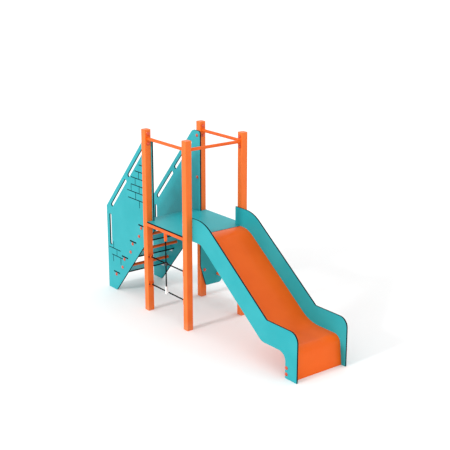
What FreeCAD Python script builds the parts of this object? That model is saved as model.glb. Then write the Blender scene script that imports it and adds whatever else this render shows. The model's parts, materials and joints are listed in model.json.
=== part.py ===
import FreeCAD, Part
import os
import Sketcher

# A small play tower with a straight slide, in millimetres.
# +X runs from the stairs through the tower to the end of the slide, +Y from the rope side to the
# climber side, +Z up.  The origin is the middle of the foot of the post between the stairs and the
# rope side.

V = FreeCAD.Vector
doc = FreeCAD.newDocument("StraightSlideTower")

# ---------------------------------------------------------------- driving and derived sizes

SIZES = [
    # posts
    ("post_side", "90"), ("post_wall", "3"), ("post_round", "6"), ("post_height", "2490"),
    ("span_x", "900"), ("span_y", "880"), ("rail_drop", "120"),
    # coloured boards and how far their free edges pass the posts
    ("board", "20"), ("board_past", "18"), ("bolt_bore", "5.3"), ("fit_gap", "0.3"),
    # top rails and round bars
    ("tube_radius", "21.2"), ("tube_wall", "2.5"), ("plug_depth", "30"),
    ("flange", "6"), ("flange_bolt", "65"), ("flange_tip", "84"), ("flange_waist", "27"),
    ("flange_shoulder", "20"), ("flange_nose", "12"), ("flange_round", "8"),
    # deck
    ("deck_top", "1262"), ("deck_clear", "3"), ("deck_back", "60"), ("deck_round", "6"),
    ("beam_side", "40"), ("beam_wall", "2.5"), ("joist_gap", "7"),
    # stair boards
    ("stair_drop", "125"), ("stair_flat", "105"), ("stair_low_drop", "151"),
    ("stair_heel", "220"), ("stair_toe_past", "14"), ("stair_top_round", "75"),
    ("stair_toe_round", "26"), ("stair_corner_round", "14"),
    ("stair_front_round", "30"),
    ("slot_half", "26"), ("slot_round", "22"), ("slot_in", "85"), ("slot_length", "605"),
    ("slot_first", "145"), ("slot_next", "830"),
    ("grip_in", "90"), ("grip_low", "650"), ("grip_edge", "101"),
    ("brick_line", "12"), ("brick_depth", "2"), ("brick_high", "100"), ("brick_long", "200"),
    ("brick_end", "60"), ("brick_drop", "407"), ("low_brick_top", "611"),
    # treads and closing bars
    ("tread_last_x", "227"), ("tread_run", "225"), ("tread_first_top", "280"),
    ("last_step", "133"), ("tread_depth", "190"), ("tenon_depth", "160"),
    ("tread_bolt_back", "8"), ("tread_bolt_drop", "43"), ("bar_ahead", "159"),
    ("bar_up", "109"), ("angle_leg", "46"), ("angle_thick", "4"), ("angle_long", "120"),
    # slide boards
    ("slide_slope", "0.735"), ("side_above", "238"), ("side_below", "64"),
    ("side_low_top", "606"), ("side_low_under", "312"), ("side_crest_out", "247"),
    ("side_under_out", "173"), ("side_level", "547"), ("foot_long", "198"),
    ("crest_round", "450"), ("knee_round", "24"), ("nose_round", "120"),
    ("under_crest_round", "110"), ("under_knee_round", "150"), ("instep_round", "112"),
    # slide bed
    ("bed_thick", "12"), ("bed_step", "3"), ("bed_low", "366"), ("bed_crest_out", "158"),
    ("bed_level", "531"), ("bed_kick", "39"), ("bed_side_gap", "1"),
    ("bed_crest_round", "350"), ("bed_knee_round", "500"), ("bed_nose_round", "105"),
    ("bearer_long", "60"), ("bearer_first", "36"), ("bearer_thick", "10"), ("bearer_sunk", "8"),
    # slide foot angles
    ("foot_bolt_back", "175"), ("foot_bolt_low", "56"), ("foot_bolt_high", "135"),
    ("foot_angle_wide", "44"), ("foot_angle_high", "185"), ("foot_angle_out", "55"),
    ("foot_angle_thick", "5"),
    # climber boards and rungs; distances out are from the post centre line
    ("cheek_gap", "4"), ("notch_gap", "2"), ("cheek_bend", "450"), ("cheek_bottom", "160"),
    ("cheek_heel", "28"), ("cheek_out", "300"), ("cheek_shoulder", "300"),
    ("cheek_slope", "6"), ("cheek_bend_round", "160"), ("cheek_heel_round", "22"),
    ("cheek_toe_round", "55"), ("cheek_shoulder_round", "90"), ("cheek_top_round", "40"),
    ("rung_first_out", "225"), ("rung_first_z", "295"), ("rung_back", "40"),
    ("cheek_bolt_low", "395"), ("cheek_bolt_drop", "118"),
    # rope climber
    ("rope_radius", "9"), ("rope_high_z", "770"), ("rope_low_z", "380"),
    ("rope_drop_off", "14"), ("rope_drop_y", "18"), ("hanger_high", "117"),
    ("tee_high", "82"), ("socket_plate", "6"), ("socket_wide", "84"),
    ("socket_high", "82"), ("socket_radius", "17"), ("socket_out", "34"),
    ("socket_bolt_off", "29"), ("hanger_plate", "6"), ("hanger_long", "96"),
    ("hanger_web", "8"), ("clamp_radius", "26"), ("tee_radius", "17"), ("tee_long", "64"),
    # fasteners
    ("cap_radius", "23"), ("cap_rim", "5"), ("cap_dome", "11"), ("shank_radius", "5"),
    ("shank_long", "32"), ("small_head", "9"), ("small_head_high", "5"),
    ("small_shank", "4"), ("small_bore", "4.3"), ("small_long", "16"),
    ("board_bolt_edge", "64"), ("board_bolt_mid", "640"), ("board_bolt_up", "49"),
    ("slide_bolt_off", "24"), ("slide_bolt_up", "20"), ("slide_bolt_long", "34"),
]

DERIVED = [
    ("half", "post_side / 2"),
    ("inner_low", "half + board"),
    ("inner_high", "span_y - half - board"),
    ("clear_y", "inner_high - inner_low"),
    ("bay_x", "span_x - post_side"),
    ("bay_y", "span_y - post_side"),
    ("free_edge", "half + board_past"),
    ("rail_z", "post_height - rail_drop"),
    ("deck_under", "deck_top - board"),
    ("beam_under", "deck_under - beam_side"),
    ("deck_front", "span_x + half - 2"),
    ("tread_first_x", "tread_last_x + 3 * tread_run"),
    ("tread_rise", "(deck_top - last_step - tread_first_top) / 3"),
    ("stair_top", "post_height - stair_drop"),
    ("stair_back", "tread_first_x + stair_heel"),
    ("stair_toe", "tread_first_x + stair_toe_past"),
    ("brick_top", "stair_top - brick_drop"),
    ("stair_front_low", "deck_top - stair_low_drop"),
    ("stair_slope", "stair_front_low / (free_edge + stair_toe)"),
    ("stair_unit", "sqrt(1 + stair_slope * stair_slope)"),
    ("stair_cos", "1 / stair_unit"),
    ("stair_sin", "stair_slope / stair_unit"),
    ("stair_back_top", "stair_top - stair_slope * (stair_back - stair_flat)"),
    ("grip_high", "stair_back_top - grip_edge"),
    ("panel_bolt_high", "stair_top - board_bolt_edge"),
    ("panel_bolt_mid", "stair_top - board_bolt_mid"),
    ("panel_bolt_low", "stair_front_low + board_bolt_up"),
    ("slide_unit", "sqrt(1 + slide_slope * slide_slope)"),
    ("slide_cos", "1 / slide_unit"),
    ("slide_sin", "slide_slope / slide_unit"),
    ("side_back", "span_x - free_edge"),
    ("side_top", "deck_top + side_above"),
    ("side_under", "deck_top - side_below"),
    ("slide_bolt_z", "side_under + slide_bolt_up"),
    ("side_crest_top", "span_x + half + side_crest_out"),
    ("side_crest_under", "span_x + half + side_under_out"),
    ("side_knee_top", "side_crest_top + (side_top - side_low_top) / slide_slope"),
    ("side_knee_under", "side_crest_under + (side_under - side_low_under) / slide_slope"),
    ("side_front", "side_knee_top + side_level"),
    ("foot_bolt_x", "side_front - foot_bolt_back"),
    ("bed_top", "deck_top - bed_step"),
    ("bed_start", "span_x + half"),
    ("bed_crest", "bed_start + bed_crest_out"),
    ("bed_knee", "bed_crest + (bed_top - bed_low) / slide_slope"),
    ("bed_end_top", "bed_knee + bed_level"),
    ("bed_end_foot", "bed_end_top + bed_kick"),
    ("bed_drop", "bed_thick * slide_unit"),
    ("bed_shift", "(bed_drop - bed_thick) / slide_slope"),
    ("bed_lean", "(bed_end_foot - bed_end_top) / bed_low"),
    ("bed_lean_thick", "bed_thick * sqrt(1 + bed_lean * bed_lean)"),
    ("cheek_top", "beam_under - cheek_gap"),
    ("notch_low", "stair_slope * (half + stair_toe) - cheek_gap"),
    ("cheek_bolt_high", "cheek_top - cheek_bolt_drop"),
    ("rung_rise", "(deck_top - rung_first_z) / 4"),
    ("rope_drop_x", "span_x / 2 - rope_drop_off"),
    ("rope_drop_top", "beam_under - hanger_high"),
    ("rope_drop_end", "rope_low_z + tee_high"),
    ("cheek_top_out", "cheek_out - (cheek_top - cheek_shoulder) / cheek_slope"),
    ("dome_sphere", "(cap_radius * cap_radius + cap_dome * cap_dome) / (2 * cap_dome)"),
]

sheet = doc.addObject("Spreadsheet::Sheet", "Dims")


def fill_sheet():
    for row, (name, value) in enumerate(SIZES, start=1):
        sheet.set("A%d" % row, name.replace("_", " "))
        sheet.set("B%d" % row, value)
        sheet.setAlias("B%d" % row, name)
    for row, (name, formula) in enumerate(DERIVED, start=len(SIZES) + 1):
        sheet.set("A%d" % row, name.replace("_", " "))
        sheet.set("B%d" % row, "=" + formula)
        sheet.setAlias("B%d" % row, name)
    doc.recompute()


fill_sheet()

NAMES = sorted([n for n, _ in SIZES + DERIVED], key=len, reverse=True)
ROOT_FUNCTIONS = ("sqrt", "atan")
nodes = []


def bind(expr):
    """Write a formula in plain size names as one that reads the sheet."""
    out = ""
    word = ""
    for ch in str(expr) + " ":
        if ch.isalnum() or ch == "_" or (ch == "." and word[:1].isdigit()):
            word += ch
            continue
        if word in NAMES:
            word = "Dims." + word
        elif word and not word[0].isdigit() and word not in ROOT_FUNCTIONS:
            raise ValueError("unknown size " + word)
        out += word + ch
        word = ""
    return out.strip()


def number(expr):
    value = sheet.evalExpression(bind(expr))
    return float(getattr(value, "Value", value))


def place(obj, x="0", y="0", z="0", turn=None):
    """Stand an object at three formulas, with an optional fixed turn."""
    spin = turn if turn else FreeCAD.Rotation()
    obj.Placement = FreeCAD.Placement(V(number(x), number(y), number(z)), spin)
    for axis, expr in zip("xyz", (x, y, z)):
        obj.setExpression("Placement.Base." + axis, bind(expr))
    return obj


def keep(obj, label):
    obj.Label = label
    nodes.append(obj)
    return obj


# ---------------------------------------------------------------- sketch based bodies

def new_body(name, x="0", y="0", z="0"):
    body = doc.addObject("PartDesign::Body", name)
    place(body, x, y, z)
    return body


def new_sketch(body, role, offset=None):
    sketch = body.newObject("Sketcher::SketchObject", "outline")
    plane = [f for f in body.Origin.OriginFeatures if f.Role == role][0]
    sketch.AttachmentSupport = (plane, [""])
    sketch.MapMode = "FlatFace"
    if offset:
        sketch.AttachmentOffset = FreeCAD.Placement(V(0, 0, number(offset)), FreeCAD.Rotation())
        sketch.setExpression("AttachmentOffset.Base.z", bind(offset))
    return sketch


def pin_point(sketch, geo, pos, x, y):
    """Tie a point of the sketch to two formulas."""
    for kind, expr in (("DistanceX", x), ("DistanceY", y)):
        value = number(expr)
        index = sketch.addConstraint(Sketcher.Constraint(kind, -1, 1, geo, pos, value))
        sketch.setExpression("Constraints[%d]" % index, bind(expr))


def add_polygon(sketch, points):
    spots = [V(number(x), number(y), 0) for x, y in points]
    count = len(points)
    first = sketch.GeometryCount
    for i in range(count):
        sketch.addGeometry(Part.LineSegment(spots[i], spots[(i + 1) % count]), False)
    for i in range(count):
        here = first + i
        there = first + (i + 1) % count
        sketch.addConstraint(Sketcher.Constraint("Coincident", here, 2, there, 1))
    for i, (x, y) in enumerate(points):
        pin_point(sketch, first + i, 1, x, y)


def add_circle(sketch, x, y, radius):
    centre = V(number(x), number(y), 0)
    geo = sketch.addGeometry(Part.Circle(centre, V(0, 0, 1), number(radius)), False)
    pin_point(sketch, geo, 3, x, y)
    index = sketch.addConstraint(Sketcher.Constraint("Radius", geo, number(radius)))
    sketch.setExpression("Constraints[%d]" % index, bind(radius))


def pad(body, sketch, length):
    feature = body.newObject("PartDesign::Pad", "pad")
    feature.Profile = sketch
    feature.Length = number(length)
    feature.setExpression("Length", bind(length))
    doc.recompute()
    return feature


def pocket(body, sketch, depth=None, forward=False):
    """Cut against the plane's normal, or along it when forward; right through with no depth."""
    before = body.Shape.Volume
    feature = body.newObject("PartDesign::Pocket", "pocket")
    feature.Profile = sketch
    if depth is None:
        feature.Type = 1
    else:
        feature.Length = number(depth)
        feature.setExpression("Length", bind(depth))
    feature.Reversed = forward
    doc.recompute()
    if not body.Shape.Volume < before - 1.0:
        raise RuntimeError("a pocket in %s removes nothing" % body.Name)
    return feature


def edges_through(shape, role, spots):
    """Names of the edges that run straight along the plane's normal through the given points."""
    flat = {"XY_Plane": lambda p: (p.x, p.y), "XZ_Plane": lambda p: (p.x, p.z),
            "YZ_Plane": lambda p: (p.y, p.z)}[role]
    found = []
    for index, edge in enumerate(shape.Edges, start=1):
        if len(edge.Vertexes) != 2 or "Line" not in edge.Curve.TypeId:
            continue
        ends = [flat(v.Point) for v in edge.Vertexes]
        for spot in spots:
            if all(abs(e[0] - spot[0]) < 0.05 and abs(e[1] - spot[1]) < 0.05 for e in ends):
                found.append("Edge%d" % index)
    return found


def soften(body, role, radius, points):
    """Round the corners of a flat board that stand at the given formula points."""
    tip = body.Tip
    spots = [(number(x), number(y)) for x, y in points]
    names = edges_through(tip.Shape, role, spots)
    if len(names) < len(spots):
        raise RuntimeError("corner not found in " + body.Name)
    feature = body.newObject("PartDesign::Fillet", "corner")
    feature.Base = (tip, names)
    feature.Radius = number(radius)
    feature.setExpression("Radius", bind(radius))
    doc.recompute()
    return feature


def board(name, role, outline, rounds, x="0", y="0", z="0", thick="board"):
    """A flat board: a polygon padded along the plane's normal, its corners rounded."""
    body = new_body(name, x, y, z)
    sketch = new_sketch(body, role)
    add_polygon(sketch, outline)
    pad(body, sketch, thick)
    for radius, corners in rounds:
        soften(body, role, radius, [outline[i] for i in corners])
    return body


def rectangle(x0, x1, y0, y1):
    return [(x0, y0), (x1, y0), (x1, y1), (x0, y1)]


# ---------------------------------------------------------------- round stock from primitives

ALONG = {
    "+x": FreeCAD.Rotation(V(0, 0, 1), V(1, 0, 0)),
    "-x": FreeCAD.Rotation(V(0, 0, 1), V(-1, 0, 0)),
    "+y": FreeCAD.Rotation(V(0, 0, 1), V(0, 1, 0)),
    "-y": FreeCAD.Rotation(V(0, 0, 1), V(0, -1, 0)),
    "+z": FreeCAD.Rotation(),
    "-z": FreeCAD.Rotation(V(1, 0, 0), 180),
}


def ahead(spot, way, distance):
    """A point moved along a signed axis by a formula."""
    moved = list(spot)
    index = "xyz".index(way[1])
    moved[index] = "%s %s (%s)" % (moved[index], way[0], distance)
    return moved


def rod(spot, way, radius, length):
    obj = doc.addObject("Part::Cylinder", "rod")
    obj.Radius = number(radius)
    obj.Height = number(length)
    obj.setExpression("Radius", bind(radius))
    obj.setExpression("Height", bind(length))
    return place(obj, *spot, turn=ALONG[way])


def block(x, y, z, long, wide, high):
    obj = doc.addObject("Part::Box", "block")
    for prop, expr in (("Length", long), ("Width", wide), ("Height", high)):
        setattr(obj, prop, number(expr))
        obj.setExpression(prop, bind(expr))
    return place(obj, x, y, z)


def ball(spot, radius):
    obj = doc.addObject("Part::Sphere", "ball")
    obj.Radius = number(radius)
    obj.setExpression("Radius", bind(radius))
    return place(obj, *spot)


def fused(shapes, name="joined"):
    obj = doc.addObject("Part::MultiFuse", name)
    obj.Shapes = shapes
    return obj


def cut(base, tool, name="cut"):
    obj = doc.addObject("Part::Cut", name)
    obj.Base = base
    obj.Tool = tool
    return obj


def common(base, tool, name="shared"):
    obj = doc.addObject("Part::Common", name)
    obj.Base = base
    obj.Tool = tool
    return obj


def group(items, label):
    obj = doc.addObject("Part::Compound", label)
    obj.Links = items
    return keep(obj, label)


def capped_bolt(spot, way):
    """A bolt seated at spot: a rim and dome standing out along way, the shank going back in."""
    back = {"+": "-", "-": "+"}[way[0]] + way[1]
    rim = rod(spot, way, "cap_radius", "cap_rim")
    dome_base = ahead(spot, way, "cap_rim")
    sphere = ball(ahead(spot, way, "cap_rim + cap_dome - dome_sphere"), "dome_sphere")
    dome = common(sphere, rod(dome_base, way, "cap_radius", "cap_dome + 1"))
    shank = rod(spot, back, "shank_radius", "shank_long")
    return fused([rim, dome, shank], "capped_bolt")


def small_bolt(spot, way, long="small_long"):
    back = {"+": "-", "-": "+"}[way[0]] + way[1]
    head = rod(spot, way, "small_head", "small_head_high")
    shank = rod(spot, back, "small_shank", long)
    return fused([head, shank], "small_bolt")


def round_bar(label, spot, way, length):
    """A tube closed by two threaded plugs, with the bolt bore through both."""
    outer = rod(spot, way, "tube_radius", length)
    bore = rod(spot, way, "shank_radius + fit_gap", length)
    hollow_start = ahead(spot, way, "plug_depth")
    hollow = rod(hollow_start, way, "tube_radius - tube_wall", length + " - 2 * plug_depth")
    return keep(cut(outer, fused([bore, hollow]), label), label)


# ---------------------------------------------------------------- posts

SIDES = {"+x": ("YZ_Plane", True), "-x": ("YZ_Plane", False),
         "+y": ("XZ_Plane", False), "-y": ("XZ_Plane", True)}


def post(label, x, y, bores):
    """A square tube with welded end plates, drilled through one wall at a time."""
    body = new_body(label, x, y)
    square = rectangle("-half", "half", "-half", "half")
    sketch = new_sketch(body, "XY_Plane")
    add_polygon(sketch, square)
    pad(body, sketch, "post_height")
    soften(body, "XY_Plane", "post_round", square)
    inside = "half - post_wall"
    hollow = new_sketch(body, "XY_Plane", "post_wall")
    add_polygon(hollow, rectangle("-(%s)" % inside, inside, "-(%s)" % inside, inside))
    pocket(body, hollow, "post_height - 2 * post_wall", forward=True)
    for side, radius, spots in bores:
        role, forward = SIDES[side]
        drill = new_sketch(body, role)
        for across, height in spots:
            add_circle(drill, across, height, radius)
        pocket(body, drill, "half + 1", forward)
    return keep(body, label)


def rail_bores(side):
    spots = [("0", "rail_z + flange_bolt"), ("0", "rail_z - flange_bolt")]
    return (side, "bolt_bore", spots)


def board_bores(side, heights):
    return (side, "bolt_bore", [("0", h) for h in heights])


def socket_bores(side):
    spots = [(off, z) for z in ("rope_high_z", "rope_low_z")
             for off in ("socket_bolt_off", "-socket_bolt_off")]
    return (side, "small_bore", spots)


STAIR_BOLTS = ["panel_bolt_high", "panel_bolt_mid", "panel_bolt_low"]
CHEEK_BOLTS = ["cheek_bolt_low", "cheek_bolt_high"]
SLIDE_BOLTS = [("slide_bolt_off", "slide_bolt_z"), ("-slide_bolt_off", "slide_bolt_z")]


def make_posts():
    post("post_stair_rope_side", "0", "0",
         [rail_bores("+x"), board_bores("+y", STAIR_BOLTS), socket_bores("+x")])
    post("post_slide_rope_side", "span_x", "0",
         [rail_bores("-x"), rail_bores("+y"), ("+y", "small_bore", SLIDE_BOLTS),
          socket_bores("-x")])
    post("post_slide_climber_side", "span_x", "span_y",
         [rail_bores("-x"), rail_bores("-y"), ("-y", "small_bore", SLIDE_BOLTS),
          board_bores("-x", CHEEK_BOLTS)])
    post("post_stair_climber_side", "0", "span_y",
         [rail_bores("+x"), board_bores("-y", STAIR_BOLTS), board_bores("+x", CHEEK_BOLTS)])


# ---------------------------------------------------------------- top rails

def top_rail(label, role, length, x, y):
    """A tube with a pointed plate welded on each end, padded along the plane's normal."""
    body = new_body(label, x, y, "rail_z")
    tips = [("flange_nose", "-flange_tip"), ("flange_waist", "-flange_shoulder"),
            ("flange_waist", "flange_shoulder"), ("flange_nose", "flange_tip"),
            ("-flange_nose", "flange_tip"), ("-flange_waist", "flange_shoulder"),
            ("-flange_waist", "-flange_shoulder"), ("-flange_nose", "-flange_tip")]
    for offset in (None, length + " - flange"):
        plate = new_sketch(body, role, offset)
        add_polygon(plate, tips)
        if offset is None:
            pad(body, plate, "flange")
            tube = new_sketch(body, role)
            add_circle(tube, "0", "0", "tube_radius")
            pad(body, tube, length)
        else:
            pad(body, plate, "flange")
    soften(body, role, "flange_round", [tips[i] for i in (0, 3, 4, 7)])
    hollow = new_sketch(body, role, "flange")
    add_circle(hollow, "0", "0", "tube_radius - tube_wall")
    pocket(body, hollow, length + " - 2 * flange", forward=True)
    drill = new_sketch(body, role)
    add_circle(drill, "0", "flange_bolt", "bolt_bore")
    add_circle(drill, "0", "-flange_bolt", "bolt_bore")
    pocket(body, drill, None, forward=True)
    return keep(body, label)


def make_top_rails():
    top_rail("top_rail_rope_side", "YZ_Plane", "bay_x", "half", "0")
    top_rail("top_rail_climber_side", "YZ_Plane", "bay_x", "half", "span_y")
    top_rail("top_rail_over_slide", "XZ_Plane", "bay_y", "span_x", "span_y - half")
    bolts = []
    for height in ("rail_z + flange_bolt", "rail_z - flange_bolt"):
        for y in ("0", "span_y"):
            bolts.append(capped_bolt(["half + flange", y, height], "+x"))
            bolts.append(capped_bolt(["span_x - half - flange", y, height], "-x"))
        bolts.append(capped_bolt(["span_x", "half + flange", height], "+y"))
        bolts.append(capped_bolt(["span_x", "span_y - half - flange", height], "-y"))
    group(bolts, "top_rail_bolts")


# ---------------------------------------------------------------- stairs

def slanted_slot(start):
    """Corners of a hand slot that runs beside the sloping edge of a stair board."""
    corners = []
    for along, across in ((start, "slot_in - slot_half"), (start, "slot_in + slot_half"),
                          (start + " + slot_length", "slot_in + slot_half"),
                          (start + " + slot_length", "slot_in - slot_half")):
        x = "-stair_flat - stair_cos * (%s) + stair_sin * (%s)" % (along, across)
        z = "stair_top - stair_sin * (%s) - stair_cos * (%s)" % (along, across)
        corners.append((x, z))
    return corners


def tread_x(index):
    return "-tread_first_x + %d * tread_run" % index


def tread_top(index):
    return "tread_first_top + %d * tread_rise" % index


def bar_x(index):
    return "-tread_first_x + bar_ahead + %d * tread_run" % index


def bar_z(index):
    return "tread_first_top + bar_up + %d * tread_rise" % index


TREADS = range(4)
BARS = range(3)
BRICK_ROWS = [("-264", 0), ("-367", 1), ("-464", 2), ("-464", 3), ("-565", 4), ("-549", 5)]
BRICK_JOINTS = [("-271", 1), ("-360", 2), ("-464", 3), ("-266", 3), ("-357", 4), ("-265", 5)]
LOW_ROWS = [("24", "337", 0), ("100", "393", 1)]
LOW_JOINTS = [("153", -1), ("237", 0), ("139", 1), ("335", 1)]


def brick_lines():
    """Level and upright milled lines, each a narrow rectangle."""
    level = []
    upright = []
    w = "brick_line / 2"
    for x, row in BRICK_ROWS:
        z = "brick_top - %d * brick_high" % row
        level.append(rectangle(x, "-brick_end", "%s - %s" % (z, w), "%s + %s" % (z, w)))
    for x0, x1, row in LOW_ROWS:
        z = "low_brick_top - %d * brick_high" % row
        level.append(rectangle("-stair_back + " + x0, "-stair_back + " + x1,
                               "%s - %s" % (z, w), "%s + %s" % (z, w)))
    joints = [(x, "brick_top - %d * brick_high" % row) for x, row in BRICK_JOINTS]
    joints += [("-stair_back + " + x, "low_brick_top - %d * brick_high" % row)
               for x, row in LOW_JOINTS]
    for x, z in joints:
        upright.append(rectangle("%s - %s" % (x, w), "%s + %s" % (x, w), z + " - brick_high", z))
    return level, upright


def stair_board(label, y, outer_offset, outward_cut):
    outline = [("free_edge", "stair_front_low"), ("free_edge", "stair_top"),
               ("-stair_flat", "stair_top"), ("-stair_back", "stair_back_top"),
               ("-stair_back", "0"), ("-stair_toe", "0")]
    rounds = [("stair_top_round", [2]), ("stair_toe_round", [5]),
              ("stair_corner_round", [3]), ("stair_front_round", [1])]
    role = "XZ_Plane"
    body = board(label, role, outline, rounds, y=y)
    for start in ("slot_first", "slot_next"):
        corners = slanted_slot(start)
        slot = new_sketch(body, role)
        add_polygon(slot, corners)
        pocket(body, slot, None, forward=True)
        soften(body, role, "slot_round", corners)
    grip = rectangle("-stair_back + grip_in - slot_half", "-stair_back + grip_in + slot_half",
                     "grip_low", "grip_high")
    slot = new_sketch(body, role)
    add_polygon(slot, grip)
    pocket(body, slot, None, forward=True)
    soften(body, role, "slot_round", grip)
    mortises = new_sketch(body, role)
    drill = new_sketch(body, role)
    for i in TREADS:
        mid = tread_x(i)
        half = "(tenon_depth / 2 + fit_gap)"
        add_polygon(mortises, rectangle("%s - %s" % (mid, half), "%s + %s" % (mid, half),
                                        tread_top(i) + " - board - fit_gap",
                                        tread_top(i) + " + fit_gap"))
        add_circle(drill, mid + " - tread_bolt_back", tread_top(i) + " - tread_bolt_drop",
                   "bolt_bore")
    for i in BARS:
        add_circle(drill, bar_x(i), bar_z(i), "bolt_bore")
    for height in STAIR_BOLTS:
        add_circle(drill, "0", height, "bolt_bore")
    pocket(body, mortises, None, forward=True)
    pocket(body, drill, None, forward=True)
    for rectangles in brick_lines():
        lines = new_sketch(body, role, outer_offset)
        for corners in rectangles:
            add_polygon(lines, corners)
        pocket(body, lines, "brick_depth", forward=outward_cut)
    return keep(body, label)


def make_tread(index):
    """A plate with a tenon at each end that fills the slot in the stair board."""
    label = "stair_tread_%d" % (index + 1)
    body = new_body(label, tread_x(index), "0", tread_top(index) + " - board")
    sketch = new_sketch(body, "XY_Plane")
    d = "tread_depth / 2"
    t = "tenon_depth / 2"
    add_polygon(sketch, [
        ("-" + d, "inner_low"), ("-" + t, "inner_low"), ("-" + t, "half"), (t, "half"),
        (t, "inner_low"), (d, "inner_low"), (d, "inner_high"), (t, "inner_high"),
        (t, "span_y - half"), ("-" + t, "span_y - half"), ("-" + t, "inner_high"),
        ("-" + d, "inner_high")])
    pad(body, sketch, "board")
    keep(body, label)


def tread_angle(index, low_side):
    """A steel angle that carries one end of a tread: a leg on the board, a leg under the plate."""
    x = tread_x(index) + " - tread_bolt_back - angle_long / 2"
    z = tread_top(index) + " - board"
    face = "inner_low" if low_side else "inner_high - angle_thick"
    flat = "inner_low" if low_side else "inner_high - angle_leg"
    leg = block(x, face, z + " - angle_leg", "angle_long", "angle_thick", "angle_leg")
    shelf = block(x, flat, z + " - angle_thick", "angle_long", "angle_leg", "angle_thick")
    spot = [tread_x(index) + " - tread_bolt_back",
            "inner_low - 1" if low_side else "inner_high - angle_thick - 1",
            tread_top(index) + " - tread_bolt_drop"]
    hole = rod(spot, "+y", "bolt_bore", "angle_thick + 2")
    return cut(fused([leg, shelf]), hole)


def make_stairs():
    stair_board("stair_board_rope_side", "inner_low", "board", False)
    stair_board("stair_board_climber_side", "span_y - half", None, True)
    for i in TREADS:
        make_tread(i)
    group([tread_angle(i, low) for i in TREADS for low in (True, False)], "tread_angles")
    for i in BARS:
        round_bar("stair_bar_%d" % (i + 1), [bar_x(i), "inner_low", bar_z(i)], "+y", "clear_y")
    tread_bolts = []
    bar_bolts = []
    for y, way in (("half", "-y"), ("span_y - half", "+y")):
        for i in TREADS:
            x = tread_x(i) + " - tread_bolt_back"
            tread_bolts.append(capped_bolt([x, y, tread_top(i) + " - tread_bolt_drop"], way))
        for i in BARS:
            bar_bolts.append(capped_bolt([bar_x(i), y, bar_z(i)], way))
    group(tread_bolts, "tread_bolts")
    group(bar_bolts, "stair_bar_bolts")
    board_bolts = []
    for y, way in (("inner_low", "+y"), ("inner_high", "-y")):
        for height in STAIR_BOLTS:
            board_bolts.append(capped_bolt(["0", y, height], way))
    group(board_bolts, "stair_board_bolts")


# ---------------------------------------------------------------- deck

def square_tube(label, x, y, z, long, wide):
    """An open steel tube lying along its longer side."""
    outer = block(x, y, z, long, wide, "beam_side")
    if long == "beam_side":
        inner = block(x + " + beam_wall", y, z + " + beam_wall", "beam_side - 2 * beam_wall",
                      wide, "beam_side - 2 * beam_wall")
    else:
        inner = block(x, y + " + beam_wall", z + " + beam_wall", long,
                      "beam_side - 2 * beam_wall", "beam_side - 2 * beam_wall")
    return keep(cut(outer, inner, label), label)


def make_deck():
    post_edge = "half + deck_clear"
    free = "free_edge + deck_clear"
    low = "inner_low + deck_clear"
    far_post = "span_x - half - deck_clear"
    far_free = "span_x - free_edge - deck_clear"
    high = "inner_high - deck_clear"
    high_post = "span_y - half + deck_clear"
    low_post = "half - deck_clear"
    outline = [
        (post_edge, "-half"), (far_post, "-half"), (far_post, low_post), (far_free, low_post),
        (far_free, low), ("deck_front", low), ("deck_front", high), (far_free, high),
        (far_free, high_post), (far_post, high_post), (far_post, "span_y + half"),
        (post_edge, "span_y + half"), (post_edge, high_post), (free, high_post), (free, high),
        ("-deck_back", high), ("-deck_back", low), (free, low), (free, low_post),
        (post_edge, low_post)]
    rounds = [("deck_round", [5, 6, 15, 16])]
    keep(board("deck_board", "XY_Plane", outline, rounds, z="deck_under"), "deck_board")
    square_tube("deck_beam_rope_side", "half", "-half", "beam_under", "bay_x", "beam_side")
    square_tube("deck_beam_climber_side", "half", "span_y + half - beam_side", "beam_under",
                "bay_x", "beam_side")
    inset = "(free_edge + joist_gap + beam_side / 2)"
    middles = (inset, "span_x / 2", "span_x - " + inset)
    for number_of, middle in enumerate(middles, start=1):
        square_tube("deck_joist_%d" % number_of, middle + " - beam_side / 2",
                    "-half + beam_side", "beam_under", "beam_side",
                    "span_y + post_side - 2 * beam_side")


# ---------------------------------------------------------------- slide

BEARERS = ["bed_start + bearer_first / 2 + 2", "bed_crest + 260", "bed_crest + 600", "bed_knee - 275",
           "bed_knee + 330"]


def bearer_middle(index):
    """Where the top of a bearer's middle touches the underside of the bed."""
    x = BEARERS[index]
    if index == 0:
        return x, "bed_top - bed_thick", False
    if index == len(BEARERS) - 1:
        return x, "bed_low - bed_thick", False
    return x, "bed_top - slide_slope * (%s - bed_crest) - bed_drop" % x, True


def bearer_outline(index, gap):
    """Corners of a bearer's end, seen from the side and grown by a gap."""
    x, z, sloping = bearer_middle(index)
    long = "bearer_long" if index else "bearer_first"
    corners = []
    for along, down in (("-", "-"), ("", "-"), ("", ""), ("-", "")):
        a = "%s(%s / 2 + %s)" % (along, long, gap)
        d = "-(%s)" % gap if down else "(bearer_thick + %s)" % gap
        if sloping:
            px = "%s + slide_cos * (%s) - slide_sin * (%s)" % (x, a, d)
            pz = "%s - slide_sin * (%s) - slide_cos * (%s)" % (z, a, d)
        else:
            px = "%s + %s" % (x, a)
            pz = "%s - %s" % (z, d)
        corners.append((px, pz))
    return corners


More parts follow.
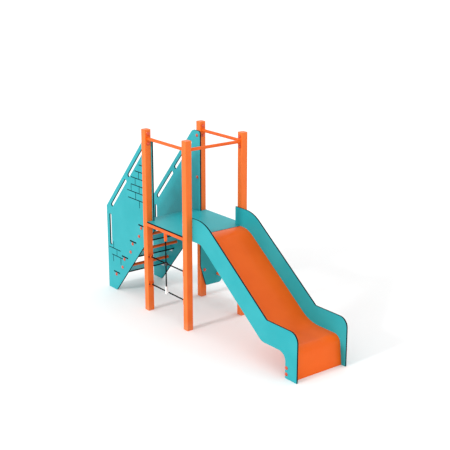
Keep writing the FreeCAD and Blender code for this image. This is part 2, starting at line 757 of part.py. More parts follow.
def slide_board(label, y, inner_offset, forward):
    outline = [("side_back", "side_top"), ("side_crest_top", "side_top"),
               ("side_knee_top", "side_low_top"), ("side_front", "side_low_top"),
               ("side_front", "0"), ("side_front - foot_long", "0"),
               ("side_front - foot_long", "side_low_under"),
               ("side_knee_under", "side_low_under"), ("side_crest_under", "side_under"),
               ("side_back", "side_under")]
    rounds = [("crest_round", [1]), ("knee_round", [2]), ("nose_round", [3]),
              ("instep_round", [6]), ("under_knee_round", [7]), ("under_crest_round", [8])]
    role = "XZ_Plane"
    body = board(label, role, outline, rounds, y=y)
    seats = new_sketch(body, role, inner_offset)
    for index in range(len(BEARERS)):
        add_polygon(seats, bearer_outline(index, "fit_gap"))
    pocket(body, seats, "bearer_sunk + fit_gap", forward)
    drill = new_sketch(body, role)
    for off, z in SLIDE_BOLTS:
        add_circle(drill, "span_x + " + off, z, "small_bore")
    for z in ("foot_bolt_low", "foot_bolt_high"):
        add_circle(drill, "foot_bolt_x", z, "bolt_bore")
    pocket(body, drill, None, forward=True)
    return keep(body, label)


def make_bed():
    """One sheet: level at the deck, straight slope, level run out, end turned down to the ground."""
    top = [("bed_start", "bed_top"), ("bed_crest", "bed_top"), ("bed_knee", "bed_low"),
           ("bed_end_top", "bed_low"), ("bed_end_foot", "0")]
    under = [("bed_end_foot - bed_lean_thick", "0"),
             ("bed_end_top - bed_lean_thick + bed_lean * bed_thick", "bed_low - bed_thick"),
             ("bed_knee - bed_shift", "bed_low - bed_thick"),
             ("bed_crest - bed_shift", "bed_top - bed_thick"),
             ("bed_start", "bed_top - bed_thick")]
    rounds = [("bed_crest_round", [1]), ("bed_crest_round - bed_thick", [8]),
              ("bed_knee_round", [2]), ("bed_knee_round + bed_thick", [7]),
              ("bed_nose_round", [3]), ("bed_nose_round - bed_thick", [6])]
    body = board("slide_bed", "XZ_Plane", top + under, rounds, y="inner_high - bed_side_gap",
                 thick="clear_y - 2 * bed_side_gap")
    keep(body, "slide_bed")


def make_bearer(index):
    label = "slide_bearer_%d" % (index + 1)
    body = board(label, "XZ_Plane", bearer_outline(index, "0"), [], y="inner_high + bearer_sunk",
                 thick="clear_y + 2 * bearer_sunk")
    keep(body, label)


def foot_angle(low_side):
    face = "inner_low" if low_side else "inner_high - foot_angle_thick"
    flat = "inner_low" if low_side else "inner_high - foot_angle_out"
    x = "foot_bolt_x - foot_angle_wide / 2"
    leg = block(x, face, "0", "foot_angle_wide", "foot_angle_thick", "foot_angle_high")
    sole = block(x, flat, "0", "foot_angle_wide", "foot_angle_out", "foot_angle_thick")
    y = "inner_low - 1" if low_side else "inner_high - foot_angle_thick - 1"
    holes = [rod(["foot_bolt_x", y, z], "+y", "bolt_bore", "foot_angle_thick + 2")
             for z in ("foot_bolt_low", "foot_bolt_high")]
    return cut(fused([leg, sole]), fused(holes))


def make_slide():
    slide_board("slide_board_rope_side", "inner_low", None, True)
    slide_board("slide_board_climber_side", "span_y - half", "board", False)
    make_bed()
    for index in range(len(BEARERS)):
        make_bearer(index)
    group([foot_angle(True), foot_angle(False)], "slide_foot_angles")
    foot = [capped_bolt(["foot_bolt_x", y, z], way)
            for y, way in (("half", "-y"), ("span_y - half", "+y"))
            for z in ("foot_bolt_low", "foot_bolt_high")]
    group(foot, "slide_foot_bolts")
    sides = [small_bolt(["span_x + " + off, y, z], way, "slide_bolt_long")
             for y, way in (("inner_low", "+y"), ("inner_high", "-y"))
             for off, z in SLIDE_BOLTS]
    group(sides, "slide_board_bolts")


# ---------------------------------------------------------------- rung climber

RUNGS = range(4)


def rung_out(index):
    return "rung_first_out - %d * rung_back" % index


def rung_z(index):
    return "rung_first_z + %d * rung_rise" % index


def cheek(label, x):
    step = "notch_gap - half"
    outline = [(step, "cheek_top"), (step, "notch_low"), ("-free_edge", "notch_low"),
               ("-free_edge", "cheek_bend"), ("cheek_heel", "cheek_bottom"),
               ("cheek_out", "cheek_bottom"), ("cheek_out", "cheek_shoulder"),
               ("cheek_top_out", "cheek_top")]
    rounds = [("cheek_bend_round", [3]), ("cheek_heel_round", [4]), ("cheek_toe_round", [5]),
              ("cheek_shoulder_round", [6]), ("cheek_top_round", [7])]
    body = board(label, "YZ_Plane", outline, rounds, x=x, y="span_y")
    drill = new_sketch(body, "YZ_Plane")
    for index in RUNGS:
        add_circle(drill, rung_out(index), rung_z(index), "bolt_bore")
    for height in CHEEK_BOLTS:
        add_circle(drill, "0", height, "bolt_bore")
    pocket(body, drill, None, forward=True)
    keep(body, label)


def make_climber():
    cheek("climber_board_stair_end", "half")
    cheek("climber_board_slide_end", "span_x - half - board")
    ends = []
    for index in RUNGS:
        y = "span_y + " + rung_out(index)
        round_bar("climber_rung_%d" % (index + 1), ["half + board", y, rung_z(index)], "+x",
                  "bay_x - 2 * board")
        ends.append(capped_bolt(["half", y, rung_z(index)], "-x"))
        ends.append(capped_bolt(["span_x - half", y, rung_z(index)], "+x"))
    group(ends, "climber_rung_bolts")
    fixings = []
    for height in CHEEK_BOLTS:
        fixings.append(capped_bolt(["half + board", "span_y", height], "+x"))
        fixings.append(capped_bolt(["span_x - half - board", "span_y", height], "-x"))
    group(fixings, "climber_board_bolts")


# ---------------------------------------------------------------- rope climber

def rope_socket(label, x, z, way):
    """A plate with a round socket that holds the end of a rope on a post."""
    start = x if way == "+x" else x + " - socket_plate"
    plate = block(start, "-socket_wide / 2", z + " - socket_high / 2", "socket_plate",
                  "socket_wide", "socket_high")
    boss = rod([x, "0", z], way, "socket_radius", "socket_out")
    holes = [rod([start + " - 1", off, z], "+x", "small_bore", "socket_plate + 2")
             for off in ("socket_bolt_off", "-socket_bolt_off")]
    return keep(cut(fused([plate, boss]), fused(holes), label), label)


def make_rope_climber():
    near = "half"
    far = "span_x - half"
    bolts = []
    for name, z in (("upper", "rope_high_z"), ("lower", "rope_low_z")):
        rope_socket("rope_socket_%s_stair_end" % name, near, z, "+x")
        rope_socket("rope_socket_%s_slide_end" % name, far, z, "-x")
        rope = rod(["half + socket_out", "0", z], "+x", "rope_radius", "bay_x - 2 * socket_out")
        keep(rope, "rope_%s" % name)
        for off in ("socket_bolt_off", "-socket_bolt_off"):
            bolts.append(small_bolt(["half + socket_plate", off, z], "+x"))
            bolts.append(small_bolt(["span_x - half - socket_plate", off, z], "-x"))
    drop_y = "-rope_drop_y"
    drop = rod(["rope_drop_x", drop_y, "rope_drop_end"], "+z", "rope_radius",
               "rope_drop_top - rope_drop_end")
    keep(drop, "rope_drop")
    top = block("rope_drop_x - hanger_long / 2", "-half + 4", "beam_under - hanger_plate",
                "hanger_long", "beam_side", "hanger_plate")
    web = block("rope_drop_x - hanger_long / 3", drop_y + " - hanger_web / 2",
                "rope_drop_top + 16", "2 * hanger_long / 3", "hanger_web",
                "beam_under - rope_drop_top - 16")
    socket = rod(["rope_drop_x", drop_y, "rope_drop_top"], "+z", "socket_radius",
                 "beam_under - rope_drop_top - 3")
    keep(fused([top, web, socket], "rope_hanger"), "rope_hanger")
    bore = "rope_radius + fit_gap"
    clamp_spot = ["rope_drop_x", "-rope_drop_y / 2", "rope_high_z"]
    clamp_bores = [rod(["rope_drop_x - 60", "0", "rope_high_z"], "+x", bore, "120"),
                   rod(["rope_drop_x", drop_y, "rope_high_z - 60"], "+z", bore, "120")]
    clamp = cut(ball(clamp_spot, "clamp_radius"), fused(clamp_bores), "rope_cross_clamp")
    keep(clamp, "rope_cross_clamp")
    sleeve = rod(["rope_drop_x - tee_long / 2", "0", "rope_low_z"], "+x", "tee_radius",
                 "tee_long")
    stem = rod(["rope_drop_x", drop_y, "rope_low_z - 24"], "+z", "tee_radius",
               "rope_drop_end - rope_low_z + 24")
    tee_bore = rod(["rope_drop_x - 60", "0", "rope_low_z"], "+x", bore, "120")
    keep(cut(fused([sleeve, stem]), tee_bore, "rope_tee"), "rope_tee")
    group(bolts, "rope_socket_bolts")


# ---------------------------------------------------------------- checks and export

def check_all():
    doc.recompute()
    bad = [o.Name for o in doc.Objects if "Invalid" in o.State or "Error" in o.State]
    for obj in nodes:
        if obj.Shape.isNull() or not obj.Shape.isValid() or not obj.Shape.Solids:
            bad.append(obj.Label)
    if bad:
        raise RuntimeError("not sound: " + ", ".join(bad))


make_posts()
make_top_rails()
make_stairs()
make_deck()
make_slide()
make_climber()
make_rope_climber()
check_all()

os.makedirs("parts", exist_ok=True)
for node in nodes:
    node.Shape.exportStep("parts/%s.step" % node.Label)
    print(node.Label, len(node.Shape.Solids), round(node.Shape.Volume))
print(len(nodes), "nodes written")
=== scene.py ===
import json
import math
import bmesh
import bpy
import numpy as np
from mathutils import Matrix, Vector


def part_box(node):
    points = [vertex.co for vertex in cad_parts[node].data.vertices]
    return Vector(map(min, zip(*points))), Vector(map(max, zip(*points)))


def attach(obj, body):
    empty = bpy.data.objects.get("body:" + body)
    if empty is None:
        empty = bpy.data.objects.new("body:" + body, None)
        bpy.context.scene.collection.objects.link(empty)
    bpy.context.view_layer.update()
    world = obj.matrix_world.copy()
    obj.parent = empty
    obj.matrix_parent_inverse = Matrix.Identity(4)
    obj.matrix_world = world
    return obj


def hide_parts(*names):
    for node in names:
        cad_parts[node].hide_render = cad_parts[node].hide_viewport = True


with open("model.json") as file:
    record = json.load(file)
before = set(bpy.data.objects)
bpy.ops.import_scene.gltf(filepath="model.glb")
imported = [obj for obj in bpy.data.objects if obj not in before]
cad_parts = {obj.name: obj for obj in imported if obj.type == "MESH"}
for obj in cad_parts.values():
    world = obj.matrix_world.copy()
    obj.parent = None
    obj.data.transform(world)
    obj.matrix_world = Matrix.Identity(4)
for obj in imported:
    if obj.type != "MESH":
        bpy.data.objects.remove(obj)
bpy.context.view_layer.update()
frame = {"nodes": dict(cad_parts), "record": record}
nodes = frame["nodes"]
print("frame loaded:", len(nodes), "nodes")

# shader maths written as expressions


class Wire:
    # one output socket; arithmetic on it adds Math nodes to the same tree
    def __init__(self, shader, socket):
        self.shader = shader
        self.socket = socket

    def maths(self, operation, *values):
        sockets = {i: v for i, v in enumerate(values)}
        return self.shader.add("Math", {"operation": operation}, sockets)

    def __add__(self, other):
        return self.maths("ADD", self, other)

    def __radd__(self, other):
        return self.maths("ADD", other, self)

    def __sub__(self, other):
        return self.maths("SUBTRACT", self, other)

    def __rsub__(self, other):
        return self.maths("SUBTRACT", other, self)

    def __mul__(self, other):
        return self.maths("MULTIPLY", self, other)

    def __rmul__(self, other):
        return self.maths("MULTIPLY", other, self)

    def __truediv__(self, other):
        return self.maths("DIVIDE", self, other)

    def __rtruediv__(self, other):
        return self.maths("DIVIDE", other, self)

    def __abs__(self):
        return self.maths("ABSOLUTE", self)

    def step(self, low, high, toLow=0.0, toHigh=1.0):
        # a smooth step: toLow below low, toHigh above high, an S curve between
        return self.shader.add("MapRange", {"interpolation_type": "SMOOTHSTEP"},
                               {"Value": self, "From Min": low, "From Max": high,
                                "To Min": toLow, "To Max": toHigh})


class Shader:
    def __init__(self, name):
        self.material = bpy.data.materials.new(name)
        self.material.use_nodes = True
        self.tree = self.material.node_tree
        self.tree.nodes.clear()
        coords = self.tree.nodes.new("ShaderNodeTexCoord")
        self.place = Wire(self, coords.outputs["Object"])
        self.sheet = Wire(self, coords.outputs["UV"])

    def feed(self, socket, value):
        if isinstance(value, Wire):
            self.tree.links.new(value.socket, socket)
        elif socket.type == "RGBA" and len(value) == 3:
            socket.default_value = (*value, 1.0)
        else:
            socket.default_value = value

    # any node: its type, its settings first, then the values or links of its sockets
    def add(self, kind, settings=None, sockets=None, out=0):
        node = self.tree.nodes.new("ShaderNode" + kind)
        for key, value in (settings or {}).items():
            setattr(node, key, value)
        for key, value in (sockets or {}).items():
            self.feed(node.inputs[key], value)
        return Wire(self, node.outputs[out])

    def split(self, vector):
        node = self.tree.nodes.new("ShaderNodeSeparateXYZ")
        self.feed(node.inputs[0], vector)
        return [Wire(self, node.outputs[i]) for i in range(3)]

    def stretched(self, vector, factors):
        return self.add("VectorMath", {"operation": "MULTIPLY"}, {0: vector, 1: factors})

    def mix(self, factor, low, high, blend="MIX"):
        return self.add("Mix", {"data_type": "RGBA", "blend_type": blend},
                        {0: factor, 6: low, 7: high}, 2)

    def noise(self, vector, scale, detail=3.0, rough=0.5):
        return self.add("TexNoise", None, {"Vector": vector, "Scale": scale, "Detail": detail,
                                           "Roughness": rough})

    def bump(self, height, distance, strength=1.0, under=None):
        sockets = {"Height": height, "Distance": distance, "Strength": strength}
        if under is not None:
            sockets["Normal"] = under
        return self.add("Bump", None, sockets)

    def coat(self, colour, roughness, normal=None, **fixed):
        sockets = {"Base Color": colour, "Roughness": roughness}
        if normal is not None:
            sockets["Normal"] = normal
        sockets.update({key.replace("_", " "): value for key, value in fixed.items()})
        return self.add("BsdfPrincipled", None, sockets)

    def output(self, surface):
        output = self.tree.nodes.new("ShaderNodeOutputMaterial")
        self.tree.links.new(surface.socket, output.inputs["Surface"])
        return self.material

    def finish(self, colour, roughness, normal=None, **fixed):
        return self.output(self.coat(colour, roughness, normal, **fixed))


# finishes

paintLook = dict(
    orange=(0.83, 0.164, 0.021), deep=(0.79, 0.146, 0.017), dust=(0.62, 0.30, 0.16),
    grainScale=420.0, grainDepth=0.00012, cloudScale=3.2, roughness=0.36, dustHeight=0.16,
    chipScale=34.0, chipLevel=0.735, bareSteel=(0.34, 0.16, 0.09))


def paintedSteel(name, tone=(1.0, 1.0, 1.0), dusty=True):
    # powder coat: slow clouds of tone, a fine orange-peel grain, a few chips, dust near the ground
    look, s = paintLook, Shader(name)
    height = s.split(s.place)[2]
    clouds = s.noise(s.place, look["cloudScale"], 4.0)
    grain = s.noise(s.place, look["grainScale"], 2.0, 0.6)
    orange = tuple(c * t for c, t in zip(look["orange"], tone))
    deep = tuple(c * t for c, t in zip(look["deep"], tone))
    colour = s.mix(clouds.step(0.36, 0.66), orange, deep)
    speck = s.noise(s.place, look["chipScale"], 6.0, 0.62)
    chip = speck.step(look["chipLevel"], look["chipLevel"] + 0.02)
    colour = s.mix(chip * 0.7, colour, look["bareSteel"])
    rough = look["roughness"] + clouds * 0.10 + chip * 0.25
    if dusty:
        dust = height.step(0.0, look["dustHeight"], 1.0, 0.0) * clouds.step(0.35, 0.6)
        colour = s.mix(dust * 0.35, colour, look["dust"])
        rough = rough + dust * 0.2
    normal = s.bump(grain + chip * -2.0, look["grainDepth"])
    return s.finish(colour, rough, normal, Specular_IOR_Level=0.22, Coat_Weight=0.05,
                    Coat_Roughness=0.15)


boardLook = dict(
    teal=(0.016, 0.335, 0.372), pale=(0.026, 0.366, 0.404), core=(0.0030, 0.0040, 0.0055),
    skin=0.0006, chamfer=0.0030, grainScale=620.0, grainDepth=0.00016, scuffColour=(0.14, 0.45, 0.48),
    scuffLevel=0.70, roughness=0.44)


def tealBoard(name, axis, middle, half):
    # a coloured skin on both faces of a black core; the core shows wherever the skin is cut
    look, s = boardLook, Shader(name)
    across = abs(s.split(s.place)[axis] - middle)
    core = across.step(half - look["skin"] - 0.0001, half - look["skin"] + 0.0001, 1.0, 0.0)
    clouds = s.noise(s.place, 2.1, 3.0)
    grain = s.noise(s.place, look["grainScale"], 2.0, 0.65)
    colour = s.mix(clouds.step(0.32, 0.68), look["teal"], look["pale"])
    swept = s.stretched(s.place, (9.0, 9.0, 130.0))
    scuff = s.noise(swept, 1.0, 5.0, 0.7).step(look["scuffLevel"], look["scuffLevel"] + 0.05)
    colour = s.mix(scuff * 0.35, colour, look["scuffColour"])
    cutter = s.add("TexWave", {"wave_type": "BANDS", "bands_direction": "DIAGONAL"},
                   {"Vector": s.place, "Scale": 90.0, "Distortion": 1.5})
    normal = s.bump(grain, look["grainDepth"])
    face = s.coat(colour, look["roughness"] + scuff * 0.15, normal, Specular_IOR_Level=0.16,
                  Coat_Weight=0.03, Coat_Roughness=0.25)
    dark = s.mix(clouds, look["core"], tuple(2.0 * c for c in look["core"]))
    cut = s.coat(dark, 0.82, s.bump(grain + cutter * 0.6, look["grainDepth"]),
                 Specular_IOR_Level=0.05)
    return s.output(s.add("MixShader", None, {0: core, 1: face, 2: cut}))


chuteLook = dict(
    orange=(0.84, 0.126, 0.007), deep=(0.80, 0.112, 0.005), worn=(0.80, 0.160, 0.030),
    streakWide=150.0, streakLong=1.4, middle=0.44, halfWide=0.375, roughness=0.30,
    rippleScale=7.0, rippleDepth=0.0012)


def chuteShell():
    # gel coat: slow clouds, long slide streaks down the middle and a faint ripple
    look, s = chuteLook, Shader("orangeChute")
    y = s.split(s.place)[1]
    clouds = s.noise(s.place, 2.6, 3.0)
    lengthways = s.stretched(s.place, (look["streakLong"], look["streakWide"],
                                       look["streakLong"]))
    streaks = s.noise(lengthways, 1.0, 4.0, 0.6)
    lane = abs(y - look["middle"]).step(look["halfWide"] * 0.25, look["halfWide"] * 0.95, 1.0, 0.0)
    colour = s.mix(clouds.step(0.3, 0.7), look["orange"], look["deep"])
    wear = streaks.step(0.52, 0.72) * lane
    colour = s.mix(wear * 0.28, colour, look["worn"])
    rough = look["roughness"] + clouds * 0.08 + wear * 0.12
    ripple = s.noise(s.stretched(s.place, (1.0, 0.4, 1.0)), look["rippleScale"], 2.0)
    normal = s.bump(ripple, look["rippleDepth"], 0.5, s.bump(streaks, 0.00006))
    return s.finish(colour, rough, normal, Specular_IOR_Level=0.14, Coat_Weight=0.05,
                    Coat_Roughness=0.12)


def cappedPlastic():
    # moulded nylon caps: a slight mottling and a satin grain
    s = Shader("orangeCaps")
    clouds = s.noise(s.place, 28.0, 3.0)
    grain = s.noise(s.place, 900.0, 2.0)
    colour = s.mix(clouds.step(0.3, 0.7), (0.66, 0.070, 0.016), (0.56, 0.050, 0.012))
    return s.finish(colour, 0.27 + clouds * 0.10, s.bump(grain, 0.00007),
                    Coat_Weight=0.4, Coat_Roughness=0.08)


def zincSteel():
    # hot-dip zinc: flat crystals of different greys
    s = Shader("zincSteel")
    crystal = s.add("TexVoronoi", {"feature": "F1"}, {"Vector": s.place, "Scale": 85.0}, 1)
    tone = s.split(crystal)[0]
    clouds = s.noise(s.place, 12.0, 4.0)
    colour = s.mix(tone, (0.42, 0.43, 0.44), (0.60, 0.61, 0.62))
    return s.finish(colour, 0.34 + tone * 0.14 + clouds * 0.1, s.bump(clouds, 0.0002),
                    Metallic=1.0)


def ropeFibre():
    # braided cover: fine fibres that follow the rope's own sheet coordinates
    s = Shader("blackRope")
    weave = s.add("TexWave", {"wave_type": "BANDS", "bands_direction": "DIAGONAL"},
                  {"Vector": s.stretched(s.sheet, (6.0, 260.0, 1.0)), "Scale": 1.0,
                   "Distortion": 1.2, "Detail": 2.0})
    fuzz = s.noise(s.place, 1400.0, 3.0)
    colour = s.mix(weave, (0.0015, 0.0015, 0.0018), (0.0060, 0.0060, 0.0065))
    colour = s.mix(fuzz.step(0.55, 0.75) * 0.5, colour, (0.012, 0.012, 0.013))
    return s.finish(colour, 0.80 + fuzz * 0.10, s.bump(weave + fuzz * 0.6, 0.0005),
                    Specular_IOR_Level=0.10)


def mouldedPlastic(name, light, dark, roughness):
    s = Shader(name)
    clouds = s.noise(s.place, 40.0, 3.0)
    grain = s.noise(s.place, 1100.0, 2.0)
    colour = s.mix(clouds.step(0.3, 0.7), light, dark)
    return s.finish(colour, roughness + clouds * 0.1, s.bump(grain, 0.00008))


def screwSteel():
    s = Shader("blackScrews")
    turned = s.noise(s.place, 600.0, 2.0)
    colour = s.mix(turned, (0.010, 0.010, 0.011), (0.040, 0.040, 0.043))
    return s.finish(colour, 0.32 + turned * 0.15, s.bump(turned, 0.0001), Metallic=0.7)


def groundFinish():
    s = Shader("studioFloor")
    clouds = s.noise(s.place, 0.4, 2.0)
    colour = s.mix(clouds, (0.90, 0.90, 0.90), (0.915, 0.915, 0.915))
    return s.finish(colour, 0.9, None, Specular_IOR_Level=0.0)


postPaint = paintedSteel("orangePosts")
# the tubes take a deeper, more saturated copy of the post paint; the deepening is partly painted
# shade, standing for the bounce light between the orange parts
tubePaint = paintedSteel("orangeTubes", (0.92, 0.72, 0.40), False)
capPlastic = cappedPlastic()
zinc = zincSteel()
rope = ropeFibre()
blackPlastic = mouldedPlastic("blackPlastic", (0.012, 0.012, 0.013), (0.022, 0.022, 0.024), 0.42)
whitePlastic = mouldedPlastic("whitePlastic", (0.83, 0.84, 0.83), (0.76, 0.77, 0.76), 0.30)
screws = screwSteel()
chute = chuteShell()

slotFinish = {
    "orange_post_paint": postPaint, "orange_tube_paint": tubePaint,
    "orange_bolt_caps": capPlastic, "zinc_steel": zinc, "black_rope": rope,
    "black_plastic": blackPlastic, "white_plastic": whitePlastic, "dark_screws": screws,
    "orange_chute": chute}


def repaint(obj, material):
    obj.data.materials.clear()
    obj.data.materials.append(material)


# the axis that each board is thin along: 0, 1 or 2 for X, Y or Z
boardAxes = {"stair_board_rope_side": 1, "stair_board_climber_side": 1,
             "slide_board_rope_side": 1, "slide_board_climber_side": 1,
             "climber_board_stair_end": 0, "climber_board_slide_end": 0, "deck_board": 2,
             "stair_tread_1": 2, "stair_tread_2": 2, "stair_tread_3": 2, "stair_tread_4": 2}

slots = {part["node"]: part["material_slot"] for part in frame["record"]["subparts"]}
for label, node in nodes.items():
    if label in boardAxes:
        axis = boardAxes[label]
        low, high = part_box(label)
        middle, half = (low[axis] + high[axis]) / 2, (high[axis] - low[axis]) / 2
        repaint(node, tealBoard("teal_" + label, axis, middle, half))
    else:
        repaint(node, slotFinish[slots[label]])
print("finishes made and given to the nodes")

# surfaces made with numpy


def gridFaces(rows, columns, closedRows=False, closedColumns=False):
    # quads between neighbours of a rows x columns grid of points, wrapping round where closed
    r = np.arange(rows if closedRows else rows - 1)
    c = np.arange(columns if closedColumns else columns - 1)
    r, c = np.meshgrid(r, c, indexing="ij")
    r1, c1 = (r + 1) % rows, (c + 1) % columns
    quads = np.stack([r * columns + c, r1 * columns + c, r1 * columns + c1, r * columns + c1], -1)
    return quads.reshape(-1, 4)


def makePiece(name, points, faces, material, replaced, uv=None, smooth=True, turn=True):
    mesh = bpy.data.meshes.new(name)
    mesh.from_pydata(points.tolist(), [], [list(map(int, f)) for f in faces])
    mesh.polygons.foreach_set("use_smooth", [smooth] * len(mesh.polygons))
    if uv is not None:
        corners = np.zeros(len(mesh.loops), dtype=np.int32)
        mesh.loops.foreach_get("vertex_index", corners)
        mesh.uv_layers.new(name="sheet").data.foreach_set("uv", uv[corners].ravel())
    mesh.update()
    obj = bpy.data.objects.new(name, mesh)
    bpy.context.scene.collection.objects.link(obj)
    if turn:
        bpy.context.view_layer.objects.active = obj
        obj.select_set(True)
        bpy.ops.object.mode_set(mode="EDIT")
        bpy.ops.mesh.select_all(action="SELECT")
        bpy.ops.mesh.normals_make_consistent(inside=False)
        bpy.ops.object.mode_set(mode="OBJECT")
        obj.select_set(False)
    mesh.materials.append(material)
    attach(obj, "root")
    if replaced:
        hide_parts(*replaced)
    return obj


def chamferedBoard(label, axis, half):
    # a merged copy of the board whose full-depth edges are cut back at 45 degrees;
    # the shallow milled lines keep their sharp edges
    mesh = bpy.data.meshes.new("board_" + label)
    work = bmesh.new()
    work.from_mesh(nodes[label].data)
    work.transform(nodes[label].matrix_world)
    bmesh.ops.remove_doubles(work, verts=work.verts, dist=0.00002)
    bmesh.ops.dissolve_limit(work, angle_limit=0.01, verts=work.verts, edges=work.edges)
    rims = []
    for edge in work.edges:
        if len(edge.link_faces) == 2:
            flat = [abs(face.normal[axis]) > 0.99 for face in edge.link_faces]
            if flat[0] != flat[1]:
                wall = edge.link_faces[1 if flat[0] else 0]
                depths = [vert.co[axis] for vert in wall.verts]
                if max(depths) - min(depths) > 2 * half - 0.0005:
                    rims.append(edge)
    bmesh.ops.bevel(work, geom=rims, offset=boardLook["chamfer"], offset_type="OFFSET",
                    segments=1, affect="EDGES", clamp_overlap=True)
    work.to_mesh(mesh)
    work.free()
    board = bpy.data.objects.new("board_" + label, mesh)
    bpy.context.scene.collection.objects.link(board)
    mesh.materials.clear()
    mesh.materials.append(nodes[label].data.materials[0])
    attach(board, "root")
    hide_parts(label)
    return len(rims)


chamfers = 0
for label, axis in boardAxes.items():
    low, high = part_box(label)
    chamfers += chamferedBoard(label, axis, (high[axis] - low[axis]) / 2)
print("board edges chamfered:", chamfers)

waysOut = {"+x": (1, 0, 0), "-x": (-1, 0, 0), "+y": (0, 1, 0), "-y": (0, -1, 0),
           "+z": (0, 0, 1), "-z": (0, 0, -1)}


def crossAxes(direction):
    # two unit vectors square to direction and to each other
    d = np.array(direction, dtype=float)
    helper = np.array((0.0, 0.0, 1.0)) if abs(d[2]) < 0.9 else np.array((1.0, 0.0, 0.0))
    side = np.cross(helper, d)
    side /= np.linalg.norm(side)
    return side, np.cross(d, side)


def spun(profile, spot, direction, turns=28):
    # a profile of (radius, distance along) pairs spun about the axis through spot:
    # spot + along * direction + radius * (cos t * side + sin t * up), closed by end points
    d = np.array(direction, dtype=float)
    side, up = crossAxes(d)
    t = np.linspace(0.0, 2 * np.pi, turns, endpoint=False)
    radius, along = np.array(profile).T
    ring = np.cos(t)[:, None] * side + np.sin(t)[:, None] * up
    points = spot + along[:, None, None] * d + radius[:, None, None] * ring[None]
    points = points.reshape(-1, 3)
    faces = gridFaces(len(profile), turns, False, True).tolist()
    faces.append(list(range(turns))[::-1])
    faces.append(list(range((len(profile) - 1) * turns, len(profile) * turns)))
    return points, faces


def gathered(parts):
    # several (points, faces) as one, with each one's faces counted on from the last
    points, faces, start = [], [], 0
    for p, f in parts:
        points.append(p)
        faces += [[i + start for i in face] for face in f]
        start += len(p)
    return np.concatenate(points), faces


cap = dict(radius=0.023, rim=0.005, dome=0.011, shankRadius=0.005, shankLong=0.032,
           lidRadius=0.0175, seam=0.0006)


def capProfile():
    # shank, underside, rounded rim, a narrow seam, then a lid that follows a circle's arc
    c = cap
    rim = [(c["shankRadius"], -c["shankLong"]), (c["shankRadius"], 0.0),
           (c["radius"] - 0.0010, 0.0), (c["radius"], 0.0010),
           (c["radius"], c["rim"] - 0.0016), (c["radius"] - 0.0016, c["rim"]),
           (c["lidRadius"] + c["seam"], c["rim"] + 0.0018), (c["lidRadius"], c["rim"] + 0.0008),
           (c["lidRadius"] - c["seam"], c["rim"] + 0.0022)]
    t = np.linspace(0.16, 1.0, 8)
    reach = c["lidRadius"] - c["seam"]
    lid = [(reach * math.cos(a * math.pi / 2) + 0.0004,
            c["rim"] + 0.0022 + (c["dome"] - 0.0022) * math.sin(a * math.pi / 2)) for a in t]
    return rim + lid


# where the caps sit, in metres: half is half a post's side, board the board thickness
tower = dict(half=0.045, board=0.020, spanX=0.900, spanY=0.880, flange=0.006,
             railZ=2.370, railBolt=0.065, firstTreadX=-0.910, firstTreadZ=0.237,
             firstBarX=-0.743, firstBarZ=0.389, treadRun=0.225, treadRise=0.283,
             stairBoltZ=(1.160, 1.725, 2.301), footBoltX=2.7803, footBoltZ=(0.056, 0.135),
             firstRungY=1.105, firstRungZ=0.295, rungLean=0.040, rungRise=0.24175,
             climberBoltZ=(0.395, 1.080))


def placeCaps():
    # each spot is (x, y, z, way out); a pair of pieces carries its caps on opposite faces
    t = tower
    inX, inY = t["half"] + t["flange"], t["half"] + t["board"]
    railSpots = [(inX, 0.0, "+x"), (t["spanX"] - inX, 0.0, "-x"), (inX, t["spanY"], "+x"),
                 (t["spanX"] - inX, t["spanY"], "-x"), (t["spanX"], inX, "+y"),
                 (t["spanX"], t["spanY"] - inX, "-y")]
    outer = ((t["half"], "-y"), (t["spanY"] - t["half"], "+y"))
    inner = ((inY, "+y"), (t["spanY"] - inY, "-y"))
    return {
        "top_rail_bolts": [(x, y, z, way) for z in (t["railZ"] - t["railBolt"],
                                                    t["railZ"] + t["railBolt"])
                           for x, y, way in railSpots],
        "tread_bolts": [(t["firstTreadX"] + t["treadRun"] * i, y,
                         t["firstTreadZ"] + t["treadRise"] * i, way)
                        for i in range(4) for y, way in outer],
        "stair_bar_bolts": [(t["firstBarX"] + t["treadRun"] * i, y,
                             t["firstBarZ"] + t["treadRise"] * i, way)
                            for i in range(3) for y, way in outer],
        "stair_board_bolts": [(0.0, y, z, way) for z in t["stairBoltZ"] for y, way in inner],
        "slide_foot_bolts": [(t["footBoltX"], y, z, way) for z in t["footBoltZ"]
                             for y, way in outer],
        "climber_rung_bolts": [(x, t["firstRungY"] - t["rungLean"] * i,
                                t["firstRungZ"] + t["rungRise"] * i, way) for i in range(4)
                               for x, way in ((t["half"], "-x"), (t["spanX"] - t["half"], "+x"))],
        "climber_board_bolts": [(x, t["spanY"], z, way) for z in t["climberBoltZ"]
                                for x, way in ((inY, "+x"), (t["spanX"] - inY, "-x"))]}


capSpots = placeCaps()
for label, spots in capSpots.items():
    points, faces = gathered([spun(capProfile(), np.array(s[:3]), waysOut[s[3]])
                              for s in spots])
    makePiece("caps_" + label, points, faces, capPlastic, [label])
print("bolt caps spun:", sum(len(s) for s in capSpots.values()))

twist = dict(strands=6, lay=0.085, groove=0.16, turns=48, perMetre=520)


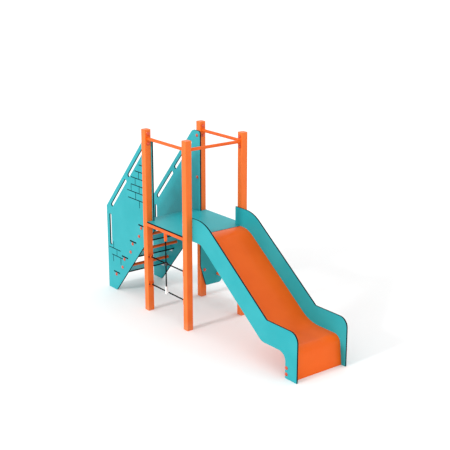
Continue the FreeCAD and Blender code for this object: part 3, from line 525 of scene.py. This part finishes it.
def laidRope(name, start, end, radius, replaced):
    # radius(t, s) = R * (1 - groove * (1 - |cos(strands / 2 * (t - 2 pi s / lay))|)):
    # round strands with grooves between them, turning once in every lay length
    start, end = np.array(start), np.array(end)
    length = np.linalg.norm(end - start)
    d = (end - start) / length
    side, up = crossAxes(d)
    rows = int(length * twist["perMetre"]) + 2
    s = np.linspace(0.0, length, rows)[:, None]
    t = np.linspace(0.0, 2 * np.pi, twist["turns"], endpoint=False)[None, :]
    phase = twist["strands"] / 2 * (t - 2 * np.pi * s / twist["lay"])
    r = radius * (1 - twist["groove"] * (1 - np.abs(np.cos(phase))))
    ring = np.cos(t)[..., None] * side + np.sin(t)[..., None] * up
    points = start + s[..., None] * d + r[..., None] * ring
    uv = np.stack([np.broadcast_to(t / (2 * np.pi), r.shape), np.broadcast_to(s, r.shape)], -1)
    faces = gridFaces(rows, twist["turns"], False, True).tolist()
    faces.append(list(range(twist["turns"]))[::-1])
    faces.append(list(range((rows - 1) * twist["turns"], rows * twist["turns"])))
    return makePiece(name, points.reshape(-1, 3), faces, rope, replaced,
                     uv.reshape(-1, 2))


for label in ("rope_upper", "rope_lower"):
    low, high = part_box(label)
    y, z = (low[1] + high[1]) / 2, (low[2] + high[2]) / 2
    laidRope("laid_" + label, (low[0], y, z), (high[0], y, z), (high[2] - low[2]) / 2, [label])
low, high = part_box("rope_drop")
x, y = (low[0] + high[0]) / 2, (low[1] + high[1]) / 2
laidRope("laid_rope_drop", (x, y, low[2]), (x, y, high[2]), (high[0] - low[0]) / 2, ["rope_drop"])
print("ropes laid")

# floor, lights and camera


def makeFloor():
    points = np.array([(-90, -90, -0.0005), (90, -90, -0.0005), (90, 90, -0.0005),
                       (-90, 90, -0.0005)], dtype=float)
    mesh = bpy.data.meshes.new("studio_floor")
    mesh.from_pydata(points.tolist(), [], [(0, 1, 2, 3)])
    mesh.materials.append(groundFinish())
    floor = bpy.data.objects.new("studio_floor", mesh)
    bpy.context.scene.collection.objects.link(floor)


studio = dict(sky=1.10, key=1.45, keyFrom=(0.0, -1.0, 0.46), keySoft=9.0,
              side=0.15, sideFrom=(1.0, -0.15, 0.6), sideSoft=50.0)


def makeSun(name, strength, direction, soft):
    data = bpy.data.lights.new(name, "SUN")
    data.energy = strength
    data.angle = math.radians(soft)
    sun = bpy.data.objects.new(name, data)
    sun.rotation_euler = Vector(direction).to_track_quat("Z", "Y").to_euler()
    bpy.context.scene.collection.objects.link(sun)


def makeLights():
    world = bpy.data.worlds.new("studio")
    bpy.context.scene.world = world
    world.use_nodes = True
    sky = world.node_tree.nodes["Background"]
    sky.inputs["Color"].default_value = (1.0, 1.0, 1.0, 1.0)
    sky.inputs["Strength"].default_value = studio["sky"]
    makeSun("key_light", studio["key"], studio["keyFrom"], studio["keySoft"])
    makeSun("side_light", studio["side"], studio["sideFrom"], studio["sideSoft"])
    bpy.context.scene.view_settings.view_transform = "Standard"


eye = dict(place=(10.868, -7.072, 5.134), azimuth=52.427, elevation=16.946, lens=81.486)


def makeCamera():
    a, e = math.radians(eye["azimuth"]), math.radians(eye["elevation"])
    back = Vector((math.sin(a) * math.cos(e), -math.cos(a) * math.cos(e), math.sin(e)))
    right = Vector((math.cos(a), math.sin(a), 0.0))
    up = back.cross(right)
    data = bpy.data.cameras.new("camera")
    data.sensor_width = 36.0
    data.lens = eye["lens"]
    camera = bpy.data.objects.new("camera", data)
    turn = Matrix((right, up, back)).transposed().to_4x4()
    camera.matrix_world = Matrix.Translation(eye["place"]) @ turn
    bpy.context.scene.collection.objects.link(camera)
    bpy.context.scene.camera = camera


makeFloor()
makeLights()
makeCamera()
print("studio ready")
